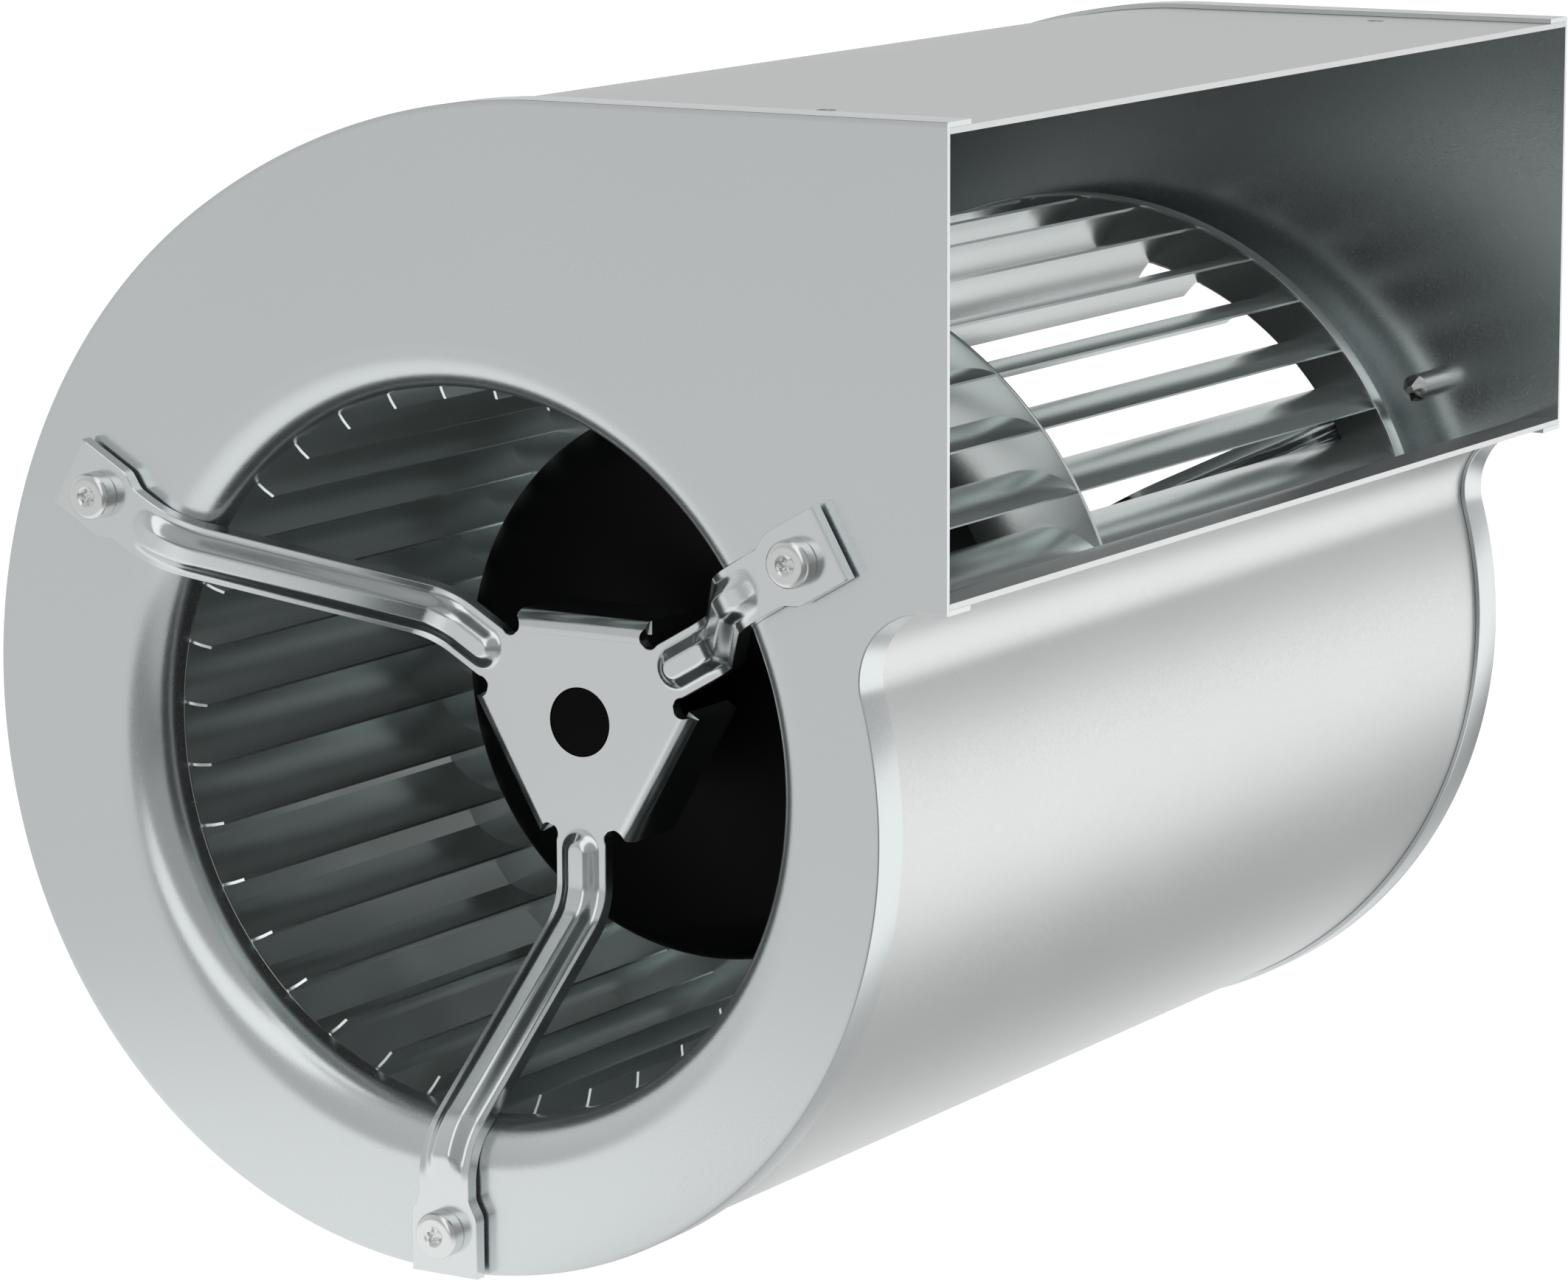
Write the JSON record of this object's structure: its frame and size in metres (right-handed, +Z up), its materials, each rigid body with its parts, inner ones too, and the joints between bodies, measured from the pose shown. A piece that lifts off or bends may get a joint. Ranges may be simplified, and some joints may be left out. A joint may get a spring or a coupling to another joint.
{
  "type": "centrifugal fan",
  "caption": "Double-inlet centrifugal fan: sheet-metal scroll housing, forward-curved drum impeller and external-rotor motor on a fixed axle held by three-armed brackets.",
  "frame": {"origin": "on the top of the housing, midway between the two mounting holes", "axes": "+X out of the outlet, +Y along the shaft away from the near inlet, +Z up out of the top"},
  "size_m": [0.1873, 0.2458, 0.1973],
  "materials": {
    "side_plates": "smooth galvanised",
    "wrap": "galvanised with fine grain",
    "brackets": "satin galvanised",
    "fasteners": "zinc plated",
    "axle": "matte black",
    "spacers": "matte black",
    "bearing_steel": "ground",
    "bearing_cage": "pressed",
    "core_steel": "stacked laminations",
    "windings": "varnished copper wire",
    "rotor_paint": "gloss black",
    "impeller": "galvanised"
  },
  "bodies": {
    "housing": {"near_side_plate": "side_plates", "far_side_plate": "side_plates", "scroll_wrap": "wrap", "near_bracket": "brackets", "far_bracket": "brackets", "near_foot_washers": "fasteners", "far_foot_washers": "fasteners", "near_foot_screws": "fasteners", "far_foot_screws": "fasteners", "motor_axle": "axle", "near_spacer_sleeve": "spacers", "far_spacer_sleeve": "spacers", "axle_circlips": "fasteners", "bearing_inner_rings": "bearing_steel", "stator_core": "core_steel", "stator_windings": "windings"},
    "rotor": {"rotor_can": "rotor_paint", "rotor_end_cover": "rotor_paint", "rotor_core": "core_steel", "bearing_outer_rings": "bearing_steel", "bearing_balls": "bearing_steel", "bearing_cages": "bearing_cage", "disc_rivets": "fasteners", "middle_disc": "impeller", "impeller_blades": "impeller", "near_end_ring": "impeller", "far_end_ring": "impeller"}
  },
  "joints": [
    {"name": "impeller_spin", "type": "hinge", "parent": "housing", "child": "rotor", "pos_m": [-0.0631, 0, -0.10931], "axis": [0, 1, 0], "continuous": true}
  ]
}
